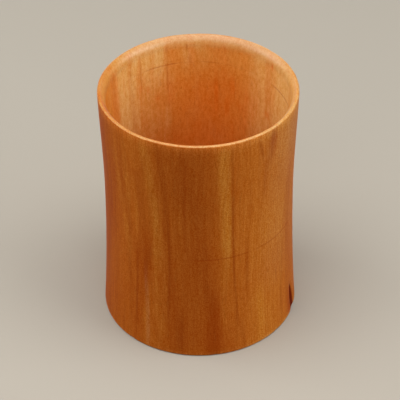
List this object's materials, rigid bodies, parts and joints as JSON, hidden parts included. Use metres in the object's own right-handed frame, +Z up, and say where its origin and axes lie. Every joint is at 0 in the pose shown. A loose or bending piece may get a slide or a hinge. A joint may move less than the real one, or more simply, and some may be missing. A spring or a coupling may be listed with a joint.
{
  "type": "wooden cup",
  "caption": "Handle-less turned wooden cup with a waisted wall, a thin rounded lip and an inset wooden bottom; stands upright and holds a drink, pens or brushes.",
  "frame": {"origin": "centre of the foot, on the surface that the cup stands on", "axes": "+Z up along the axis the cup was turned about; -Y faces the viewer of the picture"},
  "size_m": [0.0796, 0.0796, 0.104],
  "materials": {
    "long_grain_wood": "waxed satin, grain along the cup's axis",
    "cross_grain_wood": "waxed satin, grain across the disc"
  },
  "bodies": {
    "root": {"cup_wall": "long_grain_wood", "base_disc": "cross_grain_wood"}
  },
  "joints": []
}
